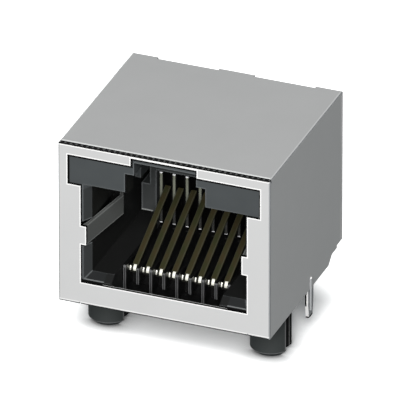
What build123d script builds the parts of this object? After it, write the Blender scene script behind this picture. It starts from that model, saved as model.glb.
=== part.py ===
from build123d import *
import os
from math import cos, sin, radians

os.makedirs("parts", exist_ok=True)

# A shielded eight-way modular jack for a circuit board, in millimetres.
# X runs to the right seen from the socket, Y to the back and Z up from the board.
# The origin lies on the board, midway between the two pegs.

# Shield, one folded sheet
shield_width = 16.5
shield_depth = 14.8
shield_height = 13.15
sheet = 0.25
corner_radius = 0.15
front_to_pegs = 5.2
fold_slit = 0.06
top_slit = 0.06
bridge_middle = 2.76
bridge_corner = 2.05
bridge_gap_depth = 0.33
bridge_gap_height = 0.5
rear_step_start = 2.8
rear_step_end = 2.1
rear_step_height = 0.6
rear_heel = 1.1
rear_heel_height = 0.82

# Window in the shield's front
window_width = 12.96
window_bottom = 1.84
window_shoulder = 9.85
band_width = 15.0
band_below_top = 0.88
notch_width = 5.14
notch_below_top = 0.25
flap_width = 13.0
flap_reach = 2.4
flap_slit = 0.12
flap_slit_height = 0.2

# Grounding springs, folded in from the window's sides
ground_root_reach = 0.42
ground_bottom = 5.0
ground_height = 1.53
ground_length = 5.2
ground_lean = 0.78
ground_tip = 1.2
ground_hook = 0.54

# Solder legs of the shield
leg_behind_pegs = 3.18
leg_width = 1.1
leg_tip_width = 0.72
leg_length = 2.34
leg_taper = 1.3
bead_width = 0.34
bead_proud = 0.1
bead_top = 0.95
bead_bottom = 1.9

# Plastic housing
shield_gap = 0.05
cavity_width = 11.96
cavity_floor = 2.4
cavity_ceiling = 9.39
lead_in_width = 0.43
lead_in_height = 0.46
lead_in_depth = 0.75
ledge_depth = 1.65
latch_width = 6.26
latch_neck_width = 4.84
latch_neck_height = 1.04
latch_roof = 0.45
ground_pocket_depth = 0.95
ground_pocket_slack = 0.25
rear_margin = 0.15
underside_gap = 0.1

# Board pegs of the housing
peg_spacing = 12.7
peg_radius = 1.52
peg_length = 3.78
peg_taper_width = 0.38
peg_taper_height = 0.38
peg_slot = 1.14

# Contacts
contact_count = 8
contact_spacing = 1.02
contact_width = 0.46
contact_thickness = 0.2
contact_edge = 0.08
contact_front = 3.22
bend_radius = 0.3
leg_height = 1.5
spring_rise = 26.3
spring_end = 10.0
stub_width = 0.1
stub_slit = 0.05
stub_turn = 135
tail_spacing = 1.27
tail_row_front = 6.35
tail_row_spacing = 2.54
tail_length = 3.2
tail_taper = 0.5
tail_tip_width = 0.2
spread_start = 5.6
spread_end = 10.6

# Contact carrier
carrier_gap = 0.05
tray_width = 9.5
tray_top = 1.88
tray_front = 4.0
tray_base = 0.35
comb_front = 2.6
comb_rib = 0.2
comb_long_top = 2.37
comb_short_top = 2.28
comb_short_bottom = 1.0
wall_front = 9.6
wall_width = 11.0
wall_foot = 3.2
wall_foot_depth = 1.3
slot_top = 6.7
slot_depth = 1.9
slot_outside = 0.1
rib_width = 0.3
rib_nose = 0.13
rib_top = 6.42
rib_bottom = 2.2
rib_front = 9.85
wall_notch_bottom = 5.45
wall_notch_width = 0.66
wall_notch_depth = 2.5
guide_bottom = 5.8

# Places worked out from the sizes
front = -front_to_pegs
back = front + shield_depth
half_width = shield_width / 2
inner_half = half_width - sheet
inner_back = back - sheet
inner_top = shield_height - sheet
housing_half = inner_half - shield_gap
housing_front = front + sheet + shield_gap
housing_back = inner_back - rear_margin
housing_top = inner_top - shield_gap
latch_ceiling = housing_top - latch_roof
latch_shoulder = latch_ceiling - latch_neck_height
band_top = shield_height - band_below_top
notch_top = shield_height - notch_below_top
wall_front_y = front + wall_front
comb_reach = (contact_count * contact_spacing + comb_rib) / 2


def block(x0, x1, y0, y1, z0, z1):
    return Pos((x0 + x1) / 2, (y0 + y1) / 2, (z0 + z1) / 2) * Box(x1 - x0, y1 - y0, z1 - z0)


def run_back(points, y0, y1):
    # an outline in X and Z, run from y0 back to y1
    face = make_face(Polyline([(x, y0, z) for x, z in points], close=True))
    return extrude(face, amount=y1 - y0, dir=(0, 1, 0))


def run_across(points, x0, x1):
    # an outline in Y and Z, run from x0 right to x1
    face = make_face(Polyline([(x0, y, z) for y, z in points], close=True))
    return extrude(face, amount=x1 - x0, dir=(1, 0, 0))


def both_sides(points):
    # a right half outline and its mirror image
    return points + [(-x, z) for x, z in reversed(points)]


def shield_window():
    half = window_width / 2
    outline = both_sides([
        (half, window_bottom),
        (half, ground_bottom),
        (half - ground_root_reach, ground_bottom),
        (half - ground_root_reach, ground_bottom + ground_height),
        (half, ground_bottom + ground_height),
        (half, window_shoulder),
        (band_width / 2, window_shoulder),
        (band_width / 2, band_top),
        (notch_width / 2, band_top),
        (notch_width / 2, notch_top),
    ])
    return run_back(outline, front - sheet, front + sheet * 1.5)


def ground_spring():
    # a tongue that leaves the window's tab, slants inwards and hooks back at its tip
    root = window_width / 2 - ground_root_reach
    y0 = front + sheet
    y1 = y0 + ground_length
    tip_x = root - ground_lean + ground_hook
    inner = [
        (root, front),
        (root, y0),
        (root - ground_lean, y1),
        (tip_x, y1 + ground_tip),
    ]
    outer = [
        (tip_x + sheet, y1 + ground_tip),
        (root - ground_lean + sheet, y1),
        (root + sheet, y0 + sheet),
        (root + 2 * sheet, front),
    ]
    face = make_face(Polyline([(x, y, ground_bottom) for x, y in inner + outer], close=True))
    return extrude(face, amount=ground_height, dir=(0, 0, 1))


def shield_leg():
    centre = leg_behind_pegs
    shoulder = leg_width / 2
    tip = leg_tip_width / 2
    outline = [
        (centre - shoulder, sheet),
        (centre - shoulder, leg_taper - leg_length),
        (centre - tip, -leg_length),
        (centre + tip, -leg_length),
        (centre + shoulder, leg_taper - leg_length),
        (centre + shoulder, sheet),
    ]
    leg = run_across(outline, inner_half, half_width)
    bead_length = bead_top + bead_bottom
    bead_middle = bead_top - bead_length / 2
    outside = Plane((half_width, centre, bead_middle), x_dir=(0, 0, 1), z_dir=(1, 0, 0))
    bead = extrude(outside * SlotOverall(bead_length, bead_width), amount=bead_proud, taper=30)
    return leg + bead


def make_shield():
    skin = block(-half_width, half_width, front, back, 0, shield_height)
    # the front frame's top edge stays sharp, because it is cut, not folded
    corners = skin.edges().filter_by(Axis.Z).group_by(Axis.Y)[0]
    corners += skin.edges().filter_by(Axis.Y).group_by(Axis.Z)[-1]
    corners += skin.edges().filter_by(Axis.X).group_by(Axis.Y)[0].sort_by(Axis.Z)[:1]
    corners += skin.edges().filter_by(Axis.X).group_by(Axis.Z)[-1].sort_by(Axis.Y)[-1:]
    skin = fillet(corners, corner_radius)
    skin -= block(-inner_half, inner_half, front + sheet, inner_back, -sheet, inner_top)

    # the flap under the front edge, between its two slits
    flap_half = flap_width / 2
    skin += block(-flap_half, flap_half, front + sheet / 2, front + flap_reach, 0, sheet)
    for side in (-1, 1):
        edge = side * (flap_half + flap_slit / 2)
        x0, x1 = edge - flap_slit / 2, edge + flap_slit / 2
        skin -= block(x0, x1, front - sheet, front + flap_reach, -sheet, flap_slit_height)

    # the slit behind the front frame's top edge
    slit_back = front + sheet + top_slit
    skin -= block(-shield_width, shield_width, front + sheet, slit_back, inner_top, shield_height + sheet)

    # the rear cover hangs on three bridges and is slit from the side walls
    gap_inner = bridge_middle / 2
    gap_outer = half_width - bridge_corner
    for side in (-1, 1):
        x0, x1 = sorted((side * gap_inner, side * gap_outer))
        low = shield_height - bridge_gap_height
        skin -= block(x0, x1, back - bridge_gap_depth, back + sheet, low, shield_height + sheet)
        x0, x1 = sorted((side * (inner_half - sheet), side * (half_width + sheet)))
        skin -= block(x0, x1, inner_back - fold_slit, inner_back, -sheet, inner_top)

    # the lower edge steps up at the back
    heel = back - rear_heel
    skin -= run_across([
        (back - rear_step_start, -sheet),
        (back - rear_step_start, 0),
        (back - rear_step_end, rear_step_height),
        (heel, rear_step_height),
        (heel, rear_heel_height),
        (back + sheet, rear_heel_height),
        (back + sheet, -sheet),
    ], -shield_width, shield_width)

    skin -= shield_window()
    for maker in (ground_spring, shield_leg):
        piece = maker()
        skin += piece
        skin += mirror(piece, Plane.YZ)
    return skin


def latch_passage():
    # the stepped slot that the plug's latch slides through, in the cavity's ceiling
    outline = both_sides([
        (latch_width / 2, cavity_ceiling - lead_in_height),
        (latch_width / 2, latch_shoulder),
        (latch_neck_width / 2, latch_shoulder),
        (latch_neck_width / 2, latch_ceiling),
    ])
    return run_back(outline, housing_front - sheet, housing_front + ledge_depth + sheet)


def lead_in():
    # the mouth narrows to the cavity over the lead-in's depth
    middle = (cavity_floor + cavity_ceiling) / 2
    tall = cavity_ceiling - cavity_floor
    mouth = Plane((0, housing_front, middle), x_dir=(1, 0, 0), z_dir=(0, 1, 0))
    wide = mouth * Rectangle(cavity_width + 2 * lead_in_width, tall + 2 * lead_in_height)
    narrow = mouth.offset(lead_in_depth) * Rectangle(cavity_width, tall)
    return loft([wide.face(), narrow.face()])


def make_peg():
    profile = make_face(Polyline([
        (0, 0, sheet),
        (peg_radius, 0, sheet),
        (peg_radius, 0, peg_taper_height - peg_length),
        (peg_radius - peg_taper_width, 0, -peg_length),
        (0, 0, -peg_length),
    ], close=True))
    peg = revolve(profile, Axis.Z)
    half = peg_slot / 2
    reach = peg_radius * 2
    return peg - block(-reach, reach, -half, half, -peg_length * 2, 0)


def make_housing():
    body = block(-housing_half, housing_half, housing_front, housing_back, 0, housing_top)
    cavity_half = cavity_width / 2
    behind_ledge = housing_front + ledge_depth

    # room for the plug, with the latch chamber above it behind the ledge
    ahead = housing_front - sheet
    body -= block(-cavity_half, cavity_half, ahead, wall_front_y, cavity_floor, cavity_ceiling)
    body -= block(-cavity_half, cavity_half, behind_ledge, wall_front_y, cavity_floor, latch_ceiling)
    body -= lead_in()
    body -= latch_passage()

    # room for the carrier, open below and behind
    tray_half = tray_width / 2 + carrier_gap
    comb_half = comb_reach + carrier_gap
    comb_y = front + comb_front - carrier_gap
    body -= block(-comb_half, comb_half, ahead, comb_y, -sheet, cavity_floor + sheet)
    beyond = housing_back + sheet
    wall_y = wall_front_y - carrier_gap
    body -= block(-comb_half, comb_half, comb_y, wall_y, -sheet, cavity_floor + sheet)
    body -= block(-tray_half, tray_half, comb_y, beyond, -sheet, tray_top + carrier_gap)
    body -= block(-tray_half, tray_half, wall_y, beyond, -sheet, cavity_floor + sheet)
    body -= block(-cavity_half, cavity_half, wall_y - sheet, beyond, cavity_floor, guide_bottom)

    # higher up, a guide on each side holds the carrier's wall
    guide_half = wall_width / 2 + carrier_gap
    body -= block(-guide_half, guide_half, wall_y, beyond, guide_bottom - sheet, latch_ceiling)

    # the flap's recess and the pockets that the grounding springs bend into
    flap_half = flap_width / 2 + shield_gap
    flap_back = front + flap_reach + shield_gap
    body -= block(-flap_half, flap_half, ahead, flap_back, -sheet, sheet + shield_gap)
    pocket_low = ground_bottom - ground_pocket_slack
    pocket_high = ground_bottom + ground_height + ground_pocket_slack
    pocket_back = front + ground_length + ground_tip + 2 * sheet + ground_pocket_slack
    pocket_half = cavity_half + ground_pocket_depth
    body -= block(-pocket_half, pocket_half, ahead, pocket_back, pocket_low, pocket_high)

    # the underside rises with the shield's lower edge
    step = underside_gap
    body -= run_across([
        (back - rear_step_start - step, -sheet),
        (back - rear_step_start - step, 0),
        (back - rear_step_end - step, rear_step_height + step),
        (back - rear_heel - step, rear_step_height + step),
        (back - rear_heel - step, rear_heel_height + step),
        (back + sheet, rear_heel_height + step),
        (back + sheet, -sheet),
    ], -shield_width, shield_width)

    peg = make_peg()
    for side in (-1, 1):
        body += Pos(side * peg_spacing / 2, 0, 0) * peg
    return body


def contact_places():
    middle = (contact_count - 1) / 2
    for index in range(contact_count):
        spring_x = (index - middle) * contact_spacing
        tail_x = (index - middle) * tail_spacing
        tail_y = tail_row_front + (index % 2) * tail_row_spacing
        yield spring_x, tail_x, tail_y


def strip_across(path, x0, x1):
    # a strip of the contact metal, bent along a path in Y and Z
    side_view = Plane((x0, 0, 0), x_dir=(0, 1, 0), z_dir=(1, 0, 0))
    return extrude(side_view * trace(path, contact_thickness), amount=x1 - x0, dir=(1, 0, 0))


def rolled_strip_along(path, x):
    # a strip whose outer face has rolled edges, led along a path in Y and Z
    route = Plane((x, 0, 0), x_dir=(0, 1, 0), z_dir=(1, 0, 0)) * path
    start = Plane(route @ 0, x_dir=(1, 0, 0), z_dir=route % 0)
    half = contact_width / 2
    outer = contact_thickness / 2
    section = make_face(Polyline(both_sides([
        (half, -outer),
        (half, outer - contact_edge),
        (half - contact_edge, outer),
    ]), close=True))
    return sweep(start * section, path=route)


def make_contact(spring_x, tail_x, tail_y):
    half = contact_width / 2
    bend_y = front + contact_front + contact_thickness / 2 + bend_radius
    bend_z = leg_height + bend_radius
    leg_start = front + spread_start

    # the spring rises from the front bend to its free end
    rise = radians(spring_rise)
    top_y = bend_y - bend_radius * sin(rise)
    top_z = bend_z + bend_radius * cos(rise)
    reach = (front + spring_end - top_y) / cos(rise)
    end = (top_y + reach * cos(rise), top_z + reach * sin(rise))
    spring = Line(end, (top_y, top_z))
    turn = CenterArc((bend_y, bend_z), bend_radius, 90 + spring_rise, 180 - spring_rise)
    leg = Line((bend_y, leg_height), (leg_start, leg_height))
    contact = rolled_strip_along(Wire([spring, turn, leg]), spring_x)

    # a narrow stub bends up beside it, parted from it by a slit
    stub_right = spring_x - half - stub_slit
    stub_left = stub_right - stub_width
    stub_bend = CenterArc((bend_y, bend_z), bend_radius, 270 - stub_turn, stub_turn)
    contact += strip_across(stub_bend + leg, stub_left, stub_right)
    slit_end = front + tray_front + contact_thickness
    lower = leg_height - contact_thickness / 2
    upper = leg_height + contact_thickness / 2
    contact += block(stub_left, spring_x + half, slit_end, leg_start, lower, upper)

    # in the tray the leg spreads sideways to its place in the board's pattern
    spread = FilletPolyline(
        (spring_x, leg_start - contact_thickness),
        (spring_x, leg_start + contact_width),
        (tail_x, front + spread_end),
        (tail_x, tail_y - bend_radius),
        radius=contact_width,
    )
    flat = Pos(0, 0, lower) * trace(spread, contact_width)
    contact += extrude(flat, amount=contact_thickness, dir=(0, 0, 1))

    # the tail turns down through the board
    tail_turn = CenterArc((tail_y - bend_radius, leg_height - bend_radius), bend_radius, 0, 90)
    tail = Line((tail_y, leg_height - bend_radius), (tail_y, -tail_length))
    contact += strip_across(tail_turn + tail, tail_x - half, tail_x + half)
    tip = tail_tip_width / 2
    for side in (-1, 1):
        wedge = [
            (tail_x + side * half, tail_taper - tail_length),
            (tail_x + side * (half + sheet), -tail_length),
            (tail_x + side * tip, -tail_length),
        ]
        contact -= run_back(wedge, tail_y - sheet, tail_y + sheet)
    return contact


def make_carrier(contacts):
    tray_half = tray_width / 2
    rear = housing_back - carrier_gap
    tray_y = front + tray_front
    comb_y = front + comb_front
    carrier = block(-tray_half, tray_half, tray_y, rear, 0, tray_top)
    carrier += block(-comb_reach, comb_reach, comb_y, tray_y + sheet, 0, tray_base)

    # the rear wall, with a foot left open over the floor and a notch above it on each side
    wall_half = wall_width / 2
    top = latch_ceiling - carrier_gap
    carrier += block(-wall_half, wall_half, wall_front_y, rear, tray_top, top)
    foot_back = wall_front_y + wall_foot_depth
    for side in (-1, 1):
        x0, x1 = sorted((side * tray_half, side * (wall_half + sheet)))
        carrier -= block(x0, x1, wall_front_y - sheet, foot_back, tray_top - sheet, wall_foot)
        floor_top = cavity_floor + carrier_gap
        carrier -= block(x0, x1, wall_front_y - sheet, rear + sheet, tray_top - sheet, floor_top)
        x0, x1 = sorted((side * (wall_half - wall_notch_width), side * (wall_half + sheet)))
        notch_back = wall_front_y + wall_notch_depth
        carrier -= block(x0, x1, wall_front_y - sheet, notch_back, wall_notch_bottom, top + sheet)

    # the comb: one pocket with a round-nosed rib on each side of every spring end
    pocket_half = (contact_count * contact_spacing + rib_width) / 2 + slot_outside
    slot_back = wall_front_y + slot_depth
    carrier -= block(-pocket_half, pocket_half, wall_front_y - sheet, slot_back, tray_top, slot_top)
    for index in range(contact_count + 1):
        x = (index - contact_count / 2) * contact_spacing
        x0, x1 = x - rib_width / 2, x + rib_width / 2
        rib = block(x0, x1, front + rib_front, slot_back + sheet, rib_bottom, rib_top)
        nose = rib.faces().sort_by(Axis.Y)[0].edges()
        carrier += fillet(nose, rib_nose)

    # the front comb keeps the bends apart
    for index in range(contact_count + 1):
        x = (index - contact_count / 2) * contact_spacing
        tall = index % 2 == 0
        low = 0 if tall else comb_short_bottom
        high = comb_long_top if tall else comb_short_top
        tooth = block(x - comb_rib / 2, x + comb_rib / 2, comb_y, tray_y + sheet, low, high)
        nose = tooth.edges().filter_by(Axis.X).group_by(Axis.Y)[0].group_by(Axis.Z)[-1]
        carrier += fillet(nose, comb_rib / 2)

    for contact in contacts:
        carrier -= contact
    return carrier


contacts = [make_contact(*place) for place in contact_places()]
nodes = {
    "shield": make_shield(),
    "housing": make_housing(),
    "contact_carrier": make_carrier(contacts),
}
for number, contact in enumerate(contacts, start=1):
    nodes[f"contact_{number}"] = contact

for name, solid in nodes.items():
    export_step(solid, f"parts/{name}.step")
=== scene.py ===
from math import cos, pi, radians, sin, tan
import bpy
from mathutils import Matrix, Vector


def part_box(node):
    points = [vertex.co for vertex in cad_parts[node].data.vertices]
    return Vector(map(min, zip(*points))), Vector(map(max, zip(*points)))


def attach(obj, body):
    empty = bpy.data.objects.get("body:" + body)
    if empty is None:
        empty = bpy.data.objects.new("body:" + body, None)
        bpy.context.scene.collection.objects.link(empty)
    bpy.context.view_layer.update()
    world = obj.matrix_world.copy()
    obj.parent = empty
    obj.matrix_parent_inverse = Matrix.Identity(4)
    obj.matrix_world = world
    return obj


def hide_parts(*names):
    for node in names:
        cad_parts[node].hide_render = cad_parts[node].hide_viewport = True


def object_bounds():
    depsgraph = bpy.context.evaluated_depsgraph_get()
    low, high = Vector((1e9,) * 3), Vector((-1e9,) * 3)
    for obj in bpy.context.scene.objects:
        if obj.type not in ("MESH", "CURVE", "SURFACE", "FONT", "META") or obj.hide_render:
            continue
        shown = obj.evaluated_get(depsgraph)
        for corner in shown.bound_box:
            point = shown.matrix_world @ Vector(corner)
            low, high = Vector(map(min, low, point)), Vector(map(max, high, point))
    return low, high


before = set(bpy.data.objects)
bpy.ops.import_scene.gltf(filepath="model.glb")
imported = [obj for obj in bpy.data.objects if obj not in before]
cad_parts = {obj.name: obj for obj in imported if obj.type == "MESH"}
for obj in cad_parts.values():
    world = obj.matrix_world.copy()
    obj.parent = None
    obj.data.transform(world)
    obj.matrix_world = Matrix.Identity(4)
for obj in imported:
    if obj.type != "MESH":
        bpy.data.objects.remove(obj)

from types import SimpleNamespace
import bmesh
import bpy
from mathutils import Matrix, Vector

cadBox = [list(corner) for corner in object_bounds()]
mm = 0.001
jackFront = cadBox[0][1]
contactPitch = 1.02 * mm     # the plug's spacing, shared by the contacts and the carrier's ribs
scene = bpy.context.scene
scene.view_settings.view_transform = "Standard"
print("frame loaded,", len(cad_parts), "nodes")


# node helpers; most find the tree from the sockets that they are given
def isSocket(value):
    return isinstance(value, bpy.types.NodeSocket)


def treeOf(*values):
    return next(value.id_data for value in values if isSocket(value))


def addNode(tree, kind, settings=None, values=None):
    node = tree.nodes.new(kind)
    for name, value in (settings or {}).items():
        setattr(node, name, value)
    for socket, value in (values or {}).items():
        if isSocket(value):
            tree.links.new(value, node.inputs[socket])
        else:
            node.inputs[socket].default_value = value
    return node


def newMaterial(name):
    material = bpy.data.materials.new(name)
    material.use_nodes = True
    tree = material.node_tree
    tree.nodes.clear()
    shader = addNode(tree, "ShaderNodeBsdfPrincipled")
    addNode(tree, "ShaderNodeOutputMaterial", values={"Surface": shader.outputs["BSDF"]})
    return material, tree, shader


def feed(shader, name, socket):
    shader.id_data.links.new(socket, shader.inputs[name])


def mathNode(operation, *values):
    values = dict(enumerate(values))
    tree = treeOf(*values.values())
    return addNode(tree, "ShaderNodeMath", {"operation": operation}, values).outputs[0]


def unsigned(value):
    return mathNode("ABSOLUTE", value)


def objectPoint(tree):
    return addNode(tree, "ShaderNodeTexCoord").outputs["Object"]


def splitPoint(point):
    return addNode(treeOf(point), "ShaderNodeSeparateXYZ", values={0: point}).outputs


def stretched(point, scale):
    values = {"Vector": point, "Scale": scale}
    return addNode(treeOf(point), "ShaderNodeMapping", values=values).outputs[0]


def noiseField(point, scale, detail):
    values = {"Vector": point, "Scale": scale, "Detail": detail}
    return addNode(treeOf(point), "ShaderNodeTexNoise", values=values).outputs["Fac"]


def spread(value, low, high):
    # a value from 0 to 1, brought to the range from low to high
    values = {"Value": value, "To Min": low, "To Max": high}
    return addNode(treeOf(value), "ShaderNodeMapRange", values=values).outputs["Result"]


def fade(value, zeroAt, oneAt):
    # 0 up to the first limit, 1 from the second on, and a slope between them
    values = {"Value": value, "From Min": zeroAt, "From Max": oneAt}
    return addNode(treeOf(value), "ShaderNodeMapRange", values=values).outputs["Result"]


def mixColour(amount, first, second):
    # inputs 6 and 7 and output 2 are the Mix node's colours
    values = {0: amount}
    for socket, colour in ((6, first), (7, second)):
        values[socket] = colour if isSocket(colour) else (*colour, 1.0)
    settings = {"data_type": "RGBA", "clamp_factor": True}
    return addNode(treeOf(amount), "ShaderNodeMix", settings, values).outputs[2]


# the camera, at the photo's angle
cameraSetup = {
    "azimuth": 21.335,
    "elevation": 28.80,
    "distance": 1216 * mm,
    "lens": 1500.0,
    "sensor": 36.0,
    "target": (0.0, 2.6 * mm, 6.5 * mm),
    "aimLeft": 0.1955 * mm,
    "aimDown": 0.451 * mm,
}


def makeCamera(setup):
    turn, tilt = radians(setup["azimuth"]), radians(setup["elevation"])
    right = Vector((cos(turn), sin(turn), 0.0))
    back = Vector((sin(turn) * cos(tilt), -cos(turn) * cos(tilt), sin(tilt)))
    up = back.cross(right)
    aim = Vector(setup["target"]) - right * setup["aimLeft"] - up * setup["aimDown"]
    data = bpy.data.cameras.new("photoCamera")
    data.lens = setup["lens"]
    data.sensor_width = setup["sensor"]
    camera = bpy.data.objects.new("photoCamera", data)
    camera.matrix_world = Matrix.Translation(aim + back * setup["distance"]) @ Matrix(
        ((right.x, up.x, back.x), (right.y, up.y, back.y), (right.z, up.z, back.z))
    ).to_4x4()
    scene.collection.objects.link(camera)
    scene.camera = camera


makeCamera(cameraSetup)
print("camera placed")


# a pale floor under a dim sky, lit by painted light around the jack
stageSetup = {
    "floorReach": 0.3,
    "floorTone": (0.96, 0.96, 0.96, 1.0),
    "floorRoughness": 0.9,
    "footCentre": (0.05 * mm, 3.6 * mm),     # painted light: the floor emits light, but not under the jack, so shade is left only beneath it
    "footHalf": (7.1 * mm, 4.2 * mm),
    "glowTint": (1.0, 1.0, 1.0, 1.0),
    "paintedGlow": 0.9,
    "glowFade": 4 * mm,
    "contactShadeReach": 1.8 * mm,                # painted shade: the floor's colour darkens this close to the pegs and legs
    "skyTint": (0.90, 1.02, 1.05, 1.0),
    "skyStrength": 0.16,
    "lampDistance": 0.5,
}
lamps = {
    # the main light, broad and from the camera's side
    "keyLight": {"direction": (0.5, -1.65, 1.0), "size": (0.22, 0.34), "power": 4.8},
    # low and behind, so that it reaches the back and the left side but not the photo's side
    "backLight": {"direction": (-1.0, 1.2, 0.04), "size": (0.30, 0.05), "power": 3.2},
}


def makeFloorLook(setup):
    material, tree, shader = newMaterial("paleFloor")
    place = splitPoint(objectPoint(tree))
    squares = []
    for axis, centre, half in zip("XY", setup["footCentre"], setup["footHalf"]):
        aside = unsigned(mathNode("SUBTRACT", place[axis], centre))
        beyond = mathNode("MAXIMUM", mathNode("SUBTRACT", aside, half), 0.0)
        squares.append(mathNode("POWER", beyond, 2.0))
    paintedGlow = addNode(tree, "ShaderNodeMapRange", {"interpolation_type": "SMOOTHSTEP"}, {
        "Value": mathNode("SQRT", mathNode("ADD", *squares)),
        "From Max": setup["glowFade"],
        "To Max": setup["paintedGlow"],
    }).outputs["Result"]
    # painted contact shade, from occlusion, put into the floor's colour
    contact = addNode(tree, "ShaderNodeAmbientOcclusion", values={
        "Color": setup["floorTone"],
        "Distance": setup["contactShadeReach"],
    }).outputs["Color"]
    feed(shader, "Base Color", contact)
    feed(shader, "Emission Strength", paintedGlow)
    shader.inputs["Emission Color"].default_value = setup["glowTint"]
    shader.inputs["Roughness"].default_value = setup["floorRoughness"]
    shader.inputs["Specular IOR Level"].default_value = 0.0
    return material


def makeFloor(setup):
    reach, height = setup["floorReach"], cadBox[0][2]
    corners = [(-reach, -reach), (reach, -reach), (reach, reach), (-reach, reach)]
    mesh = bpy.data.meshes.new("studioFloor")
    mesh.from_pydata([(x, y, height) for x, y in corners], [], [(0, 1, 2, 3)])
    mesh.materials.append(makeFloorLook(setup))
    floor = bpy.data.objects.new("studioFloor", mesh)
    scene.collection.objects.link(floor)
    # the floor shows in the picture but throws no light back on the part
    floor.visible_diffuse = False
    floor.visible_glossy = False


def makeLights(setup):
    world = bpy.data.worlds.new("studioSky")
    world.use_nodes = True
    background = world.node_tree.nodes["Background"]
    background.inputs["Color"].default_value = setup["skyTint"]
    background.inputs["Strength"].default_value = setup["skyStrength"]
    scene.world = world
    for name, lamp in lamps.items():
        data = bpy.data.lights.new(name, "AREA")
        data.shape = "RECTANGLE"
        data.size, data.size_y = lamp["size"]
        data.energy = lamp["power"]
        light = bpy.data.objects.new(name, data)
        direction = Vector(lamp["direction"]).normalized()
        light.location = direction * setup["lampDistance"]
        light.rotation_euler = direction.to_track_quat("Z", "Y").to_euler()
        scene.collection.objects.link(light)


makeFloor(stageSetup)
makeLights(stageSetup)
print("floor and light made")


# masks over the surface, 1 where they hold and 0 elsewhere
hair = 0.02 * mm             # keeps the end of a mask clear of the surface beside it
grainDepth = 0.01 * mm


def above(value, limit):
    return mathNode("GREATER_THAN", value, limit)


def below(value, limit):
    return mathNode("LESS_THAN", value, limit)


def within(value, low, high):
    return mathNode("COMPARE", value, (low + high) / 2, (high - low) / 2)


def allOf(mask, *others):
    for other in others:
        mask = mathNode("MULTIPLY", mask, other)
    return mask


def anyOf(mask, *others):
    for other in others:
        mask = mathNode("MAXIMUM", mask, other)
    return mask


def invert(mask):
    return mathNode("SUBTRACT", 1.0, mask)


def surface(tree):
    # where the surface lies, how far it is from the jack's middle, and which way it faces
    point = objectPoint(tree)
    place = splitPoint(point)
    facing = splitPoint(addNode(tree, "ShaderNodeNewGeometry").outputs["True Normal"])
    return SimpleNamespace(
        point=point,
        x=place["X"],
        y=place["Y"],
        z=place["Z"],
        aside=unsigned(place["X"]),
        facesX=facing["X"],
        facesY=facing["Y"],
        facesZ=facing["Z"],
    )


edgeSearch = {
    "samples": 8,
    "flat": 0.992,           # likeness of the turned and the true normal, away from an edge
    "sharp": 0.93,
}


def edgeLine(tree, radius):
    # the sharp edges of a piece, found from how far a bevel would turn the surface
    settings = {"samples": edgeSearch["samples"]}
    turned = addNode(tree, "ShaderNodeBevel", settings, {"Radius": radius}).outputs["Normal"]
    flat = addNode(tree, "ShaderNodeNewGeometry").outputs["True Normal"]
    dot = addNode(tree, "ShaderNodeVectorMath", {"operation": "DOT_PRODUCT"}, {0: turned, 1: flat})
    return fade(dot.outputs["Value"], edgeSearch["flat"], edgeSearch["sharp"])


def setTone(shader, layers, colour):
    # lays each tone over the ones before it, by its mask
    for mask, tone in layers:
        colour = mixColour(mask, colour, tone)
    feed(shader, "Base Color", colour)


def setGrain(shader, height, strength):
    # a fine bump, as on rolled sheet and moulded plastic
    values = {"Strength": strength, "Distance": grainDepth, "Height": height}
    feed(shader, "Normal", addNode(shader.id_data, "ShaderNodeBump", values=values).outputs[0])


# the window in the shield's front: three steps, and a tab that stands in from each side
windowSizes = {
    "steps": [                               # half width, bottom and top of each
        (6.48 * mm, 1.84 * mm, 9.85 * mm),
        (7.5 * mm, 9.85 * mm, 12.27 * mm),
        (2.57 * mm, 12.27 * mm, 12.9 * mm),
    ],
    "tab": (6.06 * mm, 5.0 * mm, 6.53 * mm),     # its end, bottom and top
    "tabReach": 1 * mm,
}


def inWindow(aside, height, grow):
    # 1 inside the window's outline, made larger or smaller all round by grow
    steps = []
    for half, low, high in windowSizes["steps"]:
        upright = within(height, low - abs(grow), high + grow)
        steps.append(allOf(below(aside, half + grow), upright))
    end, low, high = windowSizes["tab"]
    tab = allOf(within(aside, end + grow, end + windowSizes["tabReach"]),
                within(height, low + grow, high - grow))
    return allOf(anyOf(*steps), invert(tab))
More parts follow.
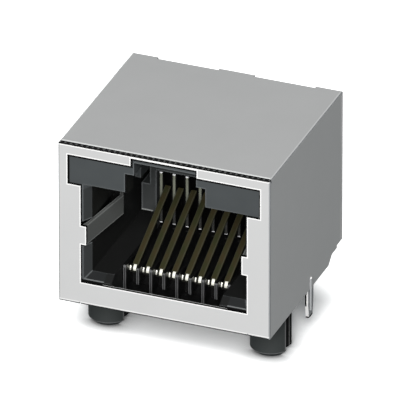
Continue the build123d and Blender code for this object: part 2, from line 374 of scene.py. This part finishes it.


# tinned sheet of the shield, with painted shade on its cuts, side folds, legs and the springs
# inside, and painted highlights on its rims and edges
sheetFinish = {
    "sheet": 0.25 * mm,
    "halfWidth": 8.25 * mm,
    "wall": 0.275 * mm,                      # a little over the sheet, to part inside from outside
    "frontDepth": 0.2625 * mm,
    "tone": (0.43, 0.427, 0.425),
    "metallic": 0.1,
    "specular": 0.1,
    "roughness": (0.56, 0.68),
    "grain": (9000.0, 2.0),                  # scale and detail of the noise
    "grainStretch": (1.0, 1.0, 0.15),
    "grainBump": 0.08,
    "mottle": (350.0, 4.0),
    "mottleRange": (0.97, 1.03),
    "flatOn": -0.7,                          # facing, from -1 to 1, where a mask begins
    "edgeOn": 0.5,
    "sideOn": 0.9,
    "upward": 0.5,
    "downward": -0.2,
    # painted shade: black on the front's cut edges, its top edge, the slit behind it, the legs'
    # slits and tips and the bottom fold's underside
    "paintedCutShade": (0.002, 0.002, 0.002),
    "outerFold": (0.175 * mm, 0.4 * mm),     # the folds beside and below keep the sheet's tone
    "topShadeLine": 0.10 * mm,                    # painted shade: a dark line along the front's top edge
    "slit": (0.225 * mm, 0.32 * mm),         # depths of the slit behind that edge, painted black as shade
    "lip": (0.31 * mm, 0.51 * mm),           # painted highlight on the front edge of the top, behind the slit
    "lipHighlight": (0.74, 0.74, 0.73),
    "strokeTone": (0.085, 0.085, 0.085),     # faint marks in the slit
    "strokeSpacing": 0.429 * mm,
    "strokeMiddle": -6.40 * mm,
    "strokeFade": (0.1, 0.9),
    "sillTone": (0.55, 0.55, 0.54),          # lit strip on the window's bottom edge
    "sillStart": 0.205 * mm,
    "sillTop": 2.0 * mm,
    "sillHalf": 4.85 * mm,
    # painted highlight on the rims round the window and along the top edge, and on the beads' tops
    "rimHighlight": (0.70, 0.69, 0.68),
    "rimWidth": 0.085 * mm,
    "foldRim": (0.165 * mm, 0.25 * mm),      # heights of the painted highlight line above the bottom fold
    "foldRimHighlight": (0.58, 0.575, 0.57),
    "bendLight": (0.5, 0.5, 0.495),
    "bendLightTilt": (0.1, 0.6),
    "bendDark": (0.24, 0.245, 0.25),
    "bendDarkTilt": (0.6, 0.97),
    # painted shade on the folds beside the front frame
    "rightFoldShade": (0.26, 0.265, 0.27),
    "rightFoldTilt": 0.45,
    "leftFoldShade": (0.34, 0.34, 0.34),
    "leftFoldTilt": -0.15,
    "beadShade": (0.25, 0.255, 0.26),
    "beadRise": 0.005 * mm,                  # a bead stands out of its side by more than this
    "beadTop": 0.86 * mm,
    "legStart": 2 * mm,                      # the legs lie further back than this
    "legSlit": (8.12 * mm, -1.3 * mm),       # edge and low end of the painted shade line in a leg
    "legTip": -2.2 * mm,
    # painted highlight on the legs' front edges and painted shade on their sides
    "legFrontHighlight": (0.56, 0.555, 0.55),
    "legSideShade": (0.27, 0.275, 0.28),
    # painted shade inside the shield, and painted highlights along the edges of the springs there
    "insideShade": (0.085, 0.088, 0.085),
    "springRimHighlight": (0.17, 0.175, 0.17),
    "springRimWidth": 0.2 * mm,
}


def frontMasks(skin, finish, low, high):
    # the front frame with its cut edges, rims and bottom fold, and the slit behind its top:
    # painted shade on the cuts, the top edge, the slit and the fold's underside, painted
    # highlights on the rims and above the fold
    inFront = below(skin.y, low.y + finish["frontDepth"])
    inTop = above(skin.z, high.z - finish["wall"])
    flatOn = below(skin.facesY, finish["flatOn"])
    edgeOn = below(unsigned(skin.facesY), finish["edgeOn"])
    upward = above(skin.facesZ, finish["upward"])
    foldBeside, foldBelow = finish["outerFold"]
    framed = allOf(below(skin.aside, finish["halfWidth"] - foldBeside), above(skin.z, foldBelow))
    slit = allOf(within(skin.y, *[low.y + depth for depth in finish["slit"]]), inTop)
    topShade = allOf(inFront, above(skin.z, high.z - finish["topShadeLine"]))
    cut = anyOf(allOf(inFront, edgeOn, framed), slit, topShade)
    along = mathNode("SUBTRACT", skin.x, finish["strokeMiddle"])
    wave = mathNode("COSINE", mathNode("MULTIPLY", along, 2 * pi / finish["strokeSpacing"]))
    belowTop = within(skin.z, high.z - finish["topShadeLine"] - finish["rimWidth"], high.z)
    aroundWindow = inWindow(skin.aside, skin.z, finish["rimWidth"])
    return SimpleNamespace(
        cut=cut,
        strokes=allOf(cut, fade(wave, *finish["strokeFade"]), upward, inTop),
        sill=allOf(cut, upward, above(skin.y, low.y + finish["sillStart"]),
                   below(skin.z, finish["sillTop"]), below(skin.aside, finish["sillHalf"])),
        lip=allOf(within(skin.y, *[low.y + depth for depth in finish["lip"]]), upward,
                  above(skin.z, high.z - finish["sheet"] / 2)),
        rim=allOf(inFront, flatOn, anyOf(belowTop, aroundWindow)),
        foldRim=allOf(inFront, flatOn, within(skin.z, *finish["foldRim"])),
        underside=allOf(inFront, below(skin.facesZ, finish["downward"]),
                        below(skin.z, finish["sheet"])),
    )


def foldMasks(skin, finish, low, high):
    # the folds along the top, painted lit above and shaded below, and those beside the front
    # frame, painted in shade
    behindSlit = above(skin.y, low.y + finish["lip"][0])
    alongTop = allOf(above(skin.z, high.z - finish["sheet"]), behindSlit)
    nearFront = below(skin.y, low.y + finish["sheet"])
    tilt = unsigned(skin.facesX)
    return SimpleNamespace(
        light=allOf(alongTop, within(tilt, *finish["bendLightTilt"])),
        dark=allOf(alongTop, within(tilt, *finish["bendDarkTilt"])),
        right=allOf(nearFront, above(skin.facesX, finish["rightFoldTilt"])),
        left=allOf(nearFront, below(skin.facesX, finish["leftFoldTilt"])),
    )


def legMasks(skin, finish, low):
    # the solder legs below the board's face, and the pressed bead above each, with painted
    # highlights on the legs' front edges and the beads' tops and painted shade on the beads'
    # flanks and the legs' sides, slits and tips
    behind = above(skin.y, low.y + finish["legStart"])
    underBoard = below(skin.z, 0.0)
    tilt = unsigned(skin.facesX)
    beadFoot = finish["halfWidth"] + finish["beadRise"]
    bead = allOf(behind, above(skin.aside, beadFoot), below(tilt, finish["sideOn"]))
    front = allOf(behind, below(skin.facesY, finish["flatOn"]), underBoard,
                  below(skin.aside, beadFoot))
    slitEdge, slitLow = finish["legSlit"]
    return SimpleNamespace(
        bead=bead,
        beadGlint=allOf(bead, above(skin.z, finish["beadTop"])),
        front=front,
        slit=allOf(front, below(skin.aside, slitEdge), above(skin.z, slitLow)),
        tip=below(skin.z, finish["legTip"]),
        side=allOf(behind, underBoard, above(tilt, finish["sideOn"])),
    )


def makeTinnedSheet(finish):
    material, tree, shader = newMaterial("tinnedSheet")
    skin = surface(tree)
    low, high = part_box("shield")
    wall = finish["wall"]
    front = frontMasks(skin, finish, low, high)
    fold = foldMasks(skin, finish, low, high)
    leg = legMasks(skin, finish, low)
    inside = allOf(below(skin.aside, finish["halfWidth"] - wall),
                   within(skin.z, wall, high.z - wall),
                   within(skin.y, low.y + finish["frontDepth"], high.y - wall))
    springRimHighlight = allOf(inside, edgeLine(tree, finish["springRimWidth"]))
    mottled = spread(noiseField(skin.point, *finish["mottle"]), *finish["mottleRange"])
    base = addNode(tree, "ShaderNodeVectorMath", {"operation": "SCALE"},
                   {0: finish["tone"], "Scale": mottled}).outputs[0]
    # painted shade and painted highlights laid over the sheet's tone
    setTone(shader, [
        (fold.right, finish["rightFoldShade"]),
        (fold.left, finish["leftFoldShade"]),
        (inside, finish["insideShade"]),
        (springRimHighlight, finish["springRimHighlight"]),
        (leg.side, finish["legSideShade"]),
        (front.lip, finish["lipHighlight"]),
        (fold.light, finish["bendLight"]),
        (fold.dark, finish["bendDark"]),
        (leg.bead, finish["beadShade"]),
        (anyOf(front.rim, leg.beadGlint), finish["rimHighlight"]),
        (front.foldRim, finish["foldRimHighlight"]),
        (leg.front, finish["legFrontHighlight"]),
        (anyOf(front.cut, leg.slit, leg.tip, front.underside), finish["paintedCutShade"]),
        (front.strokes, finish["strokeTone"]),
        (front.sill, finish["sillTone"]),
    ], base)
    grain = noiseField(stretched(skin.point, finish["grainStretch"]), *finish["grain"])
    feed(shader, "Roughness", spread(grain, *finish["roughness"]))
    setGrain(shader, grain, finish["grainBump"])
    shader.inputs["Metallic"].default_value = finish["metallic"]
    shader.inputs["Specular IOR Level"].default_value = finish["specular"]
    return material


# fine pebble of the moulds, and gloss that varies with the flow of the melt
mouldGrain = {
    "pebble": (14000.0, 2.0),                # scale and detail of the noise
    "pebbleBump": 0.15,
    "flow": (700.0, 4.0),
    "flowStretch": (1.0, 0.4, 1.0),
}


def finishPlastic(shader, skin, finish):
    pebble = noiseField(skin.point, *mouldGrain["pebble"])
    flow = noiseField(stretched(skin.point, mouldGrain["flowStretch"]), *mouldGrain["flow"])
    feed(shader, "Roughness", spread(flow, *finish["roughness"]))
    setGrain(shader, pebble, mouldGrain["pebbleBump"])
    shader.inputs["Specular IOR Level"].default_value = finish["specular"]
    return mixColour(flow, finish["tone"], finish["paleTone"])


# moulded black plastic of the housing, with painted shade deep black inside the plug's cavity, in
# the lead-in, behind the shield's edge and on the pegs, and painted highlights on its edges
housingFinish = {
    "tone": (0.040, 0.044, 0.0455),
    "paleTone": (0.048, 0.0525, 0.0545),
    "roughness": (0.37, 0.53),
    "specular": 0.25,
    # painted highlight along the sharp edges
    "rimHighlight": (0.085, 0.09, 0.092),
    "rimWidth": 0.2 * mm,
    "mouth": 0.31 * mm,                      # from the jack's front to the housing's front
    "wallFront": 9.5 * mm,
    "leadIn": 0.75 * mm,
    "leadInReach": 0.5 * mm,
    # painted shade in the lead-in, darker on its upward faces
    "leadInShade": (0.028, 0.030, 0.0305),
    "leadInFoot": (0.0125, 0.0133, 0.0137),
    "footFacing": 0.3,
    # painted highlight line along the front of the lead-in's foot
    "footLine": 0.1 * mm,
    "footLineHighlight": (0.11, 0.115, 0.115),
    # painted shade in the plug's cavity
    "cavityShade": (0.0085, 0.0087, 0.0085),
    "cavityHalf": 5.98 * mm,
    "cavityFloor": 2.4 * mm,
    "cavityCeiling": 9.39 * mm,
    "cavityEnd": 14 * mm,
    "ledge": 1.65 * mm,                      # depth of the latch's ledge, behind the mouth
    "latchHalf": 3.13 * mm,
    "latchShoulder": 11.42 * mm,
    "latchCeiling": 12.41 * mm,
    "gapHalf": 4.8 * mm,                     # gap in the floor, in front of the carrier
    "gapBottom": 0.3 * mm,
    "guideBottom": 5.8 * mm,
    "pocket": (4.6 * mm, 6.9 * mm, 1.0 * mm),    # bottom, top and depth beside the cavity
    "seamShadow": (0.002, 0.002, 0.002),       # painted shadow of the shield's edge on the housing
    "seamWidth": 0.125 * mm,
    "seamShift": (0.075 * mm, 0.19 * mm),
    "faceBottom": 1.97 * mm,
    # painted shade on the pegs and their tapers, and painted highlights on their rims and slot
    # edges
    "pegBodyShade": (0.031, 0.034, 0.0335),
    "pegRimHighlight": (0.10, 0.10, 0.10),
    "pegTaperShade": (0.013, 0.014, 0.014),
    "pegShadeTone": (0.003, 0.003, 0.003),
    "pegEdge": (-3.45 * mm, -3.36 * mm),
    "pegRoot": -0.14 * mm,
    "pegSlot": 0.575 * mm,
    "pegLine": 0.09 * mm,
    "farShade": 0.3 * mm,                    # how far the slot's shade reaches over the far half
    "slotLine": (7.55 * mm, 7.60 * mm),      # lit line in the slot's shade
}


def cavityMask(skin, finish, mouth):
    # the plug's cavity, the latch's way in, the pockets beside it and the gap in its floor, all
    # painted in shade
    half, floor = finish["cavityHalf"], finish["cavityFloor"]
    behindLeadIn, behindLedge = mouth + finish["leadIn"], mouth + finish["ledge"]
    wallFront = jackFront + finish["wallFront"]
    between = below(skin.aside, half + hair)
    lower = allOf(within(skin.y, behindLeadIn - hair, jackFront + finish["cavityEnd"]),
                  within(skin.z, floor - hair, finish["cavityCeiling"] + hair), between)
    upper = allOf(within(skin.y, behindLedge - hair, wallFront),
                  within(skin.z, floor - hair, finish["latchCeiling"] + hair), between)
    passage = allOf(within(skin.y, mouth + hair, behindLedge - hair),
                    below(skin.aside, finish["latchHalf"] + hair),
                    below(skin.z, finish["latchShoulder"]), above(skin.z, floor))
    gap = allOf(within(skin.y, mouth + hair, wallFront),
                within(skin.z, finish["gapBottom"], floor - hair),
                below(skin.aside, finish["gapHalf"] + hair))
    pocketLow, pocketHigh, pocketDepth = finish["pocket"]
    pocket = allOf(above(skin.y, behindLeadIn + hair), within(skin.z, pocketLow, pocketHigh),
                   within(skin.aside, half, half + pocketDepth))
    guide = allOf(above(skin.y, wallFront), above(skin.z, finish["guideBottom"] + hair))
    return allOf(anyOf(lower, upper, passage, gap, pocket), invert(guide))


def seamShadowMask(skin, finish, mouth):
    # painted shadow on the housing's front, round the ears and below the window
    shiftX, shiftZ = finish["seamShift"]
    aside = unsigned(mathNode("ADD", skin.x, shiftX))
    opened = inWindow(aside, mathNode("ADD", skin.z, shiftZ), -finish["seamWidth"])
    earBottom = windowSizes["steps"][1][1]
    roundEars = allOf(invert(opened), above(skin.z, earBottom))
    return allOf(below(skin.y, mouth + hair / 2),
                 anyOf(roundEars, within(skin.z, 0.0, finish["faceBottom"])))


def pegMasks(skin, finish):
    # the two board pegs, with painted shade on their bodies, darker on the taper and darkest at
    # their roots and along their slots, and painted highlights on their rims and slot edges
    slot = finish["pegSlot"]
    body = below(skin.z, -hair)
    inSlot = within(skin.y, -slot, slot + finish["farShade"])
    lines = anyOf(within(skin.y, -slot - finish["pegLine"], -slot),
                  allOf(inSlot, within(skin.aside, *finish["slotLine"])))
    return SimpleNamespace(
        body=body,
        rim=within(skin.z, *finish["pegEdge"]),
        taper=below(skin.z, finish["pegEdge"][0]),
        shade=allOf(body, anyOf(above(skin.z, finish["pegRoot"]), inSlot)),
        lines=allOf(body, lines),
    )


def makeHousingPlastic(finish):
    material, tree, shader = newMaterial("housingPlastic")
    skin = surface(tree)
    mouth = jackFront + finish["mouth"]
    reach = finish["leadInReach"]
    leadIn = allOf(within(skin.y, mouth + hair / 2, mouth + finish["leadIn"] + hair),
                   within(skin.z, finish["cavityFloor"] - reach, finish["cavityCeiling"] + hair),
                   below(skin.aside, finish["cavityHalf"] + reach))
    leadInFoot = allOf(leadIn, above(skin.facesZ, finish["footFacing"]))
    footLine = allOf(leadInFoot, below(skin.y, mouth + finish["footLine"]))
    cavity = cavityMask(skin, finish, mouth)
    peg = pegMasks(skin, finish)
    rim = allOf(edgeLine(tree, finish["rimWidth"]), invert(anyOf(cavity, peg.body)))
    # painted shade and painted highlights laid over the plastic's tone
    setTone(shader, [
        (leadIn, finish["leadInShade"]),
        (leadInFoot, finish["leadInFoot"]),
        (footLine, finish["footLineHighlight"]),
        (peg.body, finish["pegBodyShade"]),
        (peg.taper, finish["pegTaperShade"]),
        (peg.rim, finish["pegRimHighlight"]),
        (peg.shade, finish["pegShadeTone"]),
        (peg.lines, finish["pegRimHighlight"]),
        (rim, finish["rimHighlight"]),
        (seamShadowMask(skin, finish, mouth), finish["seamShadow"]),
        (cavity, finish["cavityShade"]),
    ], finishPlastic(shader, skin, finish))
    return material


# the carrier: matt wall, tray and slots painted black as shade, painted light on the teeth, and a
# painted sheen along the ribs' noses
carrierFinish = {
    "tone": (0.028, 0.030, 0.030),
    "paleTone": (0.034, 0.036, 0.036),
    "roughness": (0.32, 0.48),
    "specular": 0.3,
    # painted highlight along the sharp edges
    "rimHighlight": (0.085, 0.09, 0.092),
    "rimWidth": 0.2 * mm,
    # painted shade in the tray and the slots
    "depthShade": (0.003, 0.003, 0.003),
    "combFront": 2.6 * mm,                   # places behind the jack's front
    "wallFront": 9.6 * mm,
    "ribFront": 9.85 * mm,
    "slotBack": 11.6 * mm,
    "trayTop": 3.2 * mm,
    "slotTop": 6.71 * mm,
    "slotHalf": 4.32 * mm,
    # painted light on the teeth's front faces
    "toothLight": (0.088, 0.088, 0.09),
    "toothNose": 0.12 * mm,
    "toothTilt": 0.5,
    "toothCore": (0.02, 0.02, 0.02),         # dark middle between a tooth's two lit edges
    "toothCoreHalf": 0.06 * mm,
    "toothTop": 2.22 * mm,
    "ribNose": 0.13 * mm,
    "ribFade": (0.1326 * mm, 0.0714 * mm),   # sideways from a rib's middle
    # painted sheen along the ribs' noses, dim at the foot and bright at the head
    "ribFootSheen": (0.045, 0.045, 0.042),
    "ribHeadSheen": (0.17, 0.177, 0.14),
    "ribSheenRise": (3.5 * mm, 5.5 * mm),       # heights between which the painted sheen grows
    "ribEnds": (2.2 * mm, 6.42 * mm),
    "glintTone": (0.95, 0.95, 0.97),
    "glintHeight": 0.13 * mm,
    "glintFade": (0.1224 * mm, 0.0816 * mm),
    "footTone": (0.19, 0.195, 0.19),         # lit edge at the foot of the wall's plain ends
    "footEdge": (3.19 * mm, 3.3 * mm),
    "footHalf": 4.6 * mm,
}


def makeCarrierPlastic(finish):
    material, tree, shader = newMaterial("carrierPlastic")
    skin = surface(tree)
    comb, wall = jackFront + finish["combFront"], jackFront + finish["wallFront"]
    ribFront = jackFront + finish["ribFront"]
    # how far a place is from the middle of the nearest rib or tooth
    turns = mathNode("DIVIDE", skin.x, contactPitch)
    part = unsigned(mathNode("SUBTRACT", turns, mathNode("ROUND", turns)))
    off = mathNode("MULTIPLY", part, contactPitch)
    tray = allOf(within(skin.y, comb - hair, wall + hair), within(skin.z, hair, finish["trayTop"]))
    tooth = allOf(tray, below(skin.y, comb + finish["toothNose"]),
                  below(unsigned(skin.facesX), finish["toothTilt"]))
    core = allOf(tooth, below(off, finish["toothCoreHalf"]), below(skin.z, finish["toothTop"]))
    slots = allOf(within(skin.y, wall + hair, jackFront + finish["slotBack"]),
                  within(skin.z, hair, finish["slotTop"]), below(skin.aside, finish["slotHalf"]))
    nose = allOf(slots, within(skin.y, ribFront - hair, ribFront + finish["ribNose"]))
    ridge = allOf(nose, fade(off, *finish["ribFade"]))
    ribSheen = mixColour(fade(skin.z, *finish["ribSheenRise"]), finish["ribFootSheen"], finish["ribHeadSheen"])
    foot, head = finish["ribEnds"]
    ends = anyOf(within(skin.z, foot - hair, foot + finish["glintHeight"]),
                 above(skin.z, head - finish["glintHeight"] / 2))
    glint = allOf(nose, fade(off, *finish["glintFade"]), ends)
    footEdge = allOf(within(skin.y, wall - hair, wall + hair), within(skin.z, *finish["footEdge"]),
                     above(skin.aside, finish["footHalf"]))
    hollow = anyOf(tray, slots)
    rim = allOf(edgeLine(tree, finish["rimWidth"]), invert(hollow))
    # painted shade and painted highlights laid over the plastic's tone
    setTone(shader, [
        (rim, finish["rimHighlight"]),
        (hollow, finish["depthShade"]),
        (footEdge, finish["footTone"]),
        (tooth, finish["toothLight"]),
        (core, finish["toothCore"]),
        (ridge, ribSheen),
        (glint, finish["glintTone"]),
    ], finishPlastic(shader, skin, finish))
    return material


# contact strip: olive bronze that tarnishes to brown, with painted shade on the front bend and a
# painted highlight along its crest
contactFinish = {
    "olive": (0.042, 0.045, 0.019),
    "brown": (0.058, 0.045, 0.021),
    "tarnish": (900.0, 2.0),                 # scale and detail of the noise
    "tarnishFade": (0.35, 0.65),
    "rolling": (9000.0, 2.0),
    "rollingStretch": (1.0, 0.1, 0.1),
    "roughness": (0.26, 0.42),
    "metallic": 0.5,
    "edgeTone": (0.075, 0.073, 0.045),
    "edge": 0.165 * mm,                      # from the strip's middle to its lit edges
    "upward": 0.3,
    "bendEnd": 3.45 * mm,                    # behind the jack's front
    "bendTop": 2.2 * mm,
    "shadeTone": (0.012, 0.012, 0.008),
    "shadeDulling": 0.5,
    # painted highlight along the bend's crest and on its stub
    "crestHighlight": (0.98, 0.97, 0.86),
    "crestHighlightLow": 1.745 * mm,
    "crest": (-0.09 * mm, 0.13 * mm),        # across the strip, from its middle
    "stub": (-0.40 * mm, -0.27 * mm),
}


def makeContactMetal(finish):
    material, tree, shader = newMaterial("contactMetal")
    skin = surface(tree)
    # how far a place is across its strip; the middles lie half a step from the jack's middle
    turns = mathNode("ADD", mathNode("DIVIDE", skin.x, contactPitch), 0.5)
    part = mathNode("SUBTRACT", turns, mathNode("ROUND", turns))
    across = mathNode("MULTIPLY", part, contactPitch)
    edges = allOf(above(unsigned(across), finish["edge"]), above(skin.facesZ, finish["upward"]))
    bend = allOf(below(skin.y, jackFront + finish["bendEnd"]), below(skin.z, finish["bendTop"]))
    bright = allOf(bend, above(skin.z, finish["crestHighlightLow"]),
                   anyOf(within(across, *finish["crest"]), within(across, *finish["stub"])))
    tarnish = fade(noiseField(skin.point, *finish["tarnish"]), *finish["tarnishFade"])
    # painted shade on the bend and painted highlight on its crest, over the tarnished bronze
    setTone(shader, [
        (edges, finish["edgeTone"]),
        (bend, finish["shadeTone"]),
        (bright, finish["crestHighlight"]),
    ], mixColour(tarnish, finish["olive"], finish["brown"]))
    # the flanks of the bend, painted in shade, stay dull beside the crest's painted highlight
    dulled = mathNode("MULTIPLY", allOf(bend, invert(bright)), finish["shadeDulling"])
    rolling = noiseField(stretched(skin.point, finish["rollingStretch"]), *finish["rolling"])
    feed(shader, "Roughness", mathNode("ADD", spread(rolling, *finish["roughness"]), dulled))
    shader.inputs["Metallic"].default_value = finish["metallic"]
    return material


# the eight contact strips, swept by node trees along paths that bend and spread
contactSizes = {
    "count": 8,
    "tailPitch": 1.27 * mm,
    "tailRows": (6.35 * mm, 8.89 * mm),
    "width": 0.46 * mm,
    "thickness": 0.2 * mm,
    "edgeRadius": 0.07 * mm,
    "stubLeft": 0.33 * mm,                   # from the strip's middle to the stub's
    "stubWidth": 0.1 * mm,
    "stubEdgeRadius": 0.035 * mm,
    "stubTurn": 135.0,
    "stubEnd": 4.5 * mm,
    "bendBack": 3.62 * mm,                   # middle of the front bend, behind the jack's front
    "bendHeight": 1.8 * mm,
    "bendRadius": 0.3 * mm,
    "rise": 26.3,
    "springEnd": 10.0 * mm,
    "spreadStart": 6.06 * mm,
    "spreadEnd": 10.6 * mm,
    "spreadRadius": 0.46 * mm,
    "tailLength": 3.2 * mm,
    "tailTaper": 0.5 * mm,
    "tipScale": 0.44,
    "stripCorners": 7,                       # as many as the two paths below have
    "stubCorners": 3,
    "bendSteps": 10,
    "edgeSteps": 4,
    "sharpAngle": 40.0,
}


def contactPath(sizes, springX, tailX, tailY):
    # corners of the strip's middle line from its free end to its tail, with each corner's radius
    middleY, slope = jackFront + sizes["bendBack"], radians(sizes["rise"])
    radius = sizes["bendRadius"]
    legZ = sizes["bendHeight"] - radius
    cornerY = middleY - radius / tan(slope / 2)
    endY = jackFront + sizes["springEnd"]
    endZ = legZ + (endY - cornerY) * tan(slope)
    tip = -sizes["tailLength"]
    return [
        ((springX, endY, endZ), 0.0),
        ((springX, cornerY, legZ), radius),
        ((springX, jackFront + sizes["spreadStart"], legZ), sizes["spreadRadius"]),
        ((tailX, jackFront + sizes["spreadEnd"], legZ), sizes["spreadRadius"]),
        ((tailX, tailY, legZ), radius),
        ((tailX, tailY, tip + sizes["tailTaper"]), 0.0),
        ((tailX, tailY, tip), 0.0),
    ]


def stubPath(sizes, springX):
    # the narrow stub bends up only part of the way round
    x = springX - sizes["stubLeft"]
    middleY, middleZ = jackFront + sizes["bendBack"], sizes["bendHeight"]
    radius = sizes["bendRadius"]
    turn = radians(270 - sizes["stubTurn"])
    reach = radius * tan(radians(sizes["stubTurn"] / 2))
    return [
        ((x, middleY + radius * cos(turn), middleZ + radius * sin(turn)), 0.0),
        ((x, middleY - reach, middleZ - radius), radius),
        ((x, jackFront + sizes["stubEnd"], middleZ - radius), 0.0),
    ]


def filletNode(tree, curve, steps, radius):
    return addNode(tree, "GeometryNodeFilletCurve", {"mode": "POLY"}, {
        "Curve": curve,
        "Count": steps,
        "Radius": radius,
        "Limit Radius": True,
    }).outputs[0]


def pathNodes(tree, given, corners, steps):
    # a line through named corner inputs, rounded at each by its own radius
    line = addNode(tree, "GeometryNodeMeshLine", values={"Count": corners}).outputs[0]
    index = addNode(tree, "GeometryNodeInputIndex").outputs[0]
    places = addNode(tree, "GeometryNodeIndexSwitch", {"data_type": "VECTOR"})
    radii = addNode(tree, "GeometryNodeIndexSwitch", {"data_type": "FLOAT"})
    for switch, kind in ((places, "Corner"), (radii, "Radius")):
        while len(switch.index_switch_items) < corners:
            switch.index_switch_items.new()
        tree.links.new(index, switch.inputs[0])
        for number in range(corners):
            tree.links.new(given[f"{kind} {number + 1}"], switch.inputs[number + 1])
    placed = addNode(tree, "GeometryNodeSetPosition", values={
        "Geometry": line,
        "Position": places.outputs[0],
    }).outputs[0]
    curve = addNode(tree, "GeometryNodeMeshToCurve", values={"Mesh": placed}).outputs[0]
    return filletNode(tree, curve, steps, radii.outputs[0])


def makeStripTree(name, corners, sizes):
    tree = bpy.data.node_groups.new(name, "GeometryNodeTree")
    inputs = []
    for number in range(1, corners + 1):
        inputs += [(f"Corner {number}", "Vector"), (f"Radius {number}", "Float")]
    inputs += [(size, "Float") for size in ("Width", "Thickness", "Edge Radius", "Tip Scale")]
    inputs.append(("Material", "Material"))
    sockets = {}
    for title, kind in inputs:
        sockets[title] = tree.interface.new_socket(
            name=title, in_out="INPUT", socket_type=f"NodeSocket{kind}")
    tree.interface.new_socket(name="Strip", in_out="OUTPUT", socket_type="NodeSocketGeometry")
    given = addNode(tree, "NodeGroupInput").outputs
    last = addNode(tree, "GeometryNodeCurveEndpointSelection", values={
        "Start Size": 0,
        "End Size": 1,
    }).outputs[0]
    tapered = addNode(tree, "GeometryNodeSetCurveRadius", values={
        "Curve": pathNodes(tree, given, corners, sizes["bendSteps"]),
        "Selection": last,
        "Radius": given["Tip Scale"],
    }).outputs[0]
    section = addNode(tree, "GeometryNodeCurvePrimitiveQuadrilateral", values={
        "Width": given["Width"],
        "Height": given["Thickness"],
    }).outputs[0]
    strip = addNode(tree, "GeometryNodeCurveToMesh", values={
        "Curve": tapered,
        "Profile Curve": filletNode(tree, section, sizes["edgeSteps"], given["Edge Radius"]),
        "Fill Caps": True,
    }).outputs[0]
    real = addNode(tree, "GeometryNodeRealizeInstances", values={"Geometry": strip}).outputs[0]
    coated = addNode(tree, "GeometryNodeSetMaterial", values={
        "Geometry": real,
        "Material": given["Material"],
    }).outputs[0]
    addNode(tree, "NodeGroupOutput", values={"Strip": coated})
    return tree, sockets


def sweepStrip(stripTree, path, values):
    # runs the tree once and keeps its result as a plain mesh
    tree, sockets = stripTree
    strip = bpy.data.objects.new("strip", bpy.data.meshes.new("strip"))
    scene.collection.objects.link(strip)
    modifier = strip.modifiers.new("strip", "NODES")
    modifier.node_group = tree
    for number, (corner, radius) in enumerate(path, start=1):
        modifier[sockets[f"Corner {number}"].identifier] = corner
        modifier[sockets[f"Radius {number}"].identifier] = radius
    for title, value in values.items():
        modifier[sockets[title].identifier] = value
    evaluated = strip.evaluated_get(bpy.context.evaluated_depsgraph_get())
    swept = bpy.data.meshes.new_from_object(evaluated)
    strip.modifiers.remove(modifier)
    bpy.data.objects.remove(strip)
    return swept


def joinMeshes(name, meshes, sharpAngle):
    built = bmesh.new()
    for mesh in meshes:
        built.from_mesh(mesh)
        bpy.data.meshes.remove(mesh)
    bmesh.ops.recalc_face_normals(built, faces=built.faces)
    joined = bpy.data.meshes.new(name)
    built.to_mesh(joined)
    built.free()
    joined.shade_smooth()
    joined.set_sharp_from_angle(angle=radians(sharpAngle))
    return joined


def makeContacts(sizes, material):
    strip = {
        "Width": sizes["width"],
        "Thickness": sizes["thickness"],
        "Edge Radius": sizes["edgeRadius"],
        "Tip Scale": sizes["tipScale"],
        "Material": material,
    }
    stub = {
        **strip,
        "Width": sizes["stubWidth"],
        "Edge Radius": sizes["stubEdgeRadius"],
        "Tip Scale": 1.0,
    }
    stripTree = makeStripTree("contactStrip", sizes["stripCorners"], sizes)
    stubTree = makeStripTree("contactStub", sizes["stubCorners"], sizes)
    for number in range(sizes["count"]):
        step = number - (sizes["count"] - 1) / 2
        springX, tailX = step * contactPitch, step * sizes["tailPitch"]
        tailY = sizes["tailRows"][number % 2]
        swept = [
            sweepStrip(stripTree, contactPath(sizes, springX, tailX, tailY), strip),
            sweepStrip(stubTree, stubPath(sizes, springX), stub),
        ]
        mesh = joinMeshes(f"contactStrip{number + 1}", swept, sizes["sharpAngle"])
        mesh.materials.append(material)
        contact = bpy.data.objects.new(f"contactStrip{number + 1}", mesh)
        scene.collection.objects.link(contact)
        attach(contact, "root")
        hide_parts(f"contact_{number + 1}")


def coat(nodeName, material):
    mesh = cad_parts[nodeName].data
    mesh.materials.clear()
    mesh.materials.append(material)


coat("shield", makeTinnedSheet(sheetFinish))
coat("housing", makeHousingPlastic(housingFinish))
coat("contact_carrier", makeCarrierPlastic(carrierFinish))
print("finishes set")
makeContacts(contactSizes, makeContactMetal(contactFinish))
print("contact strips swept")
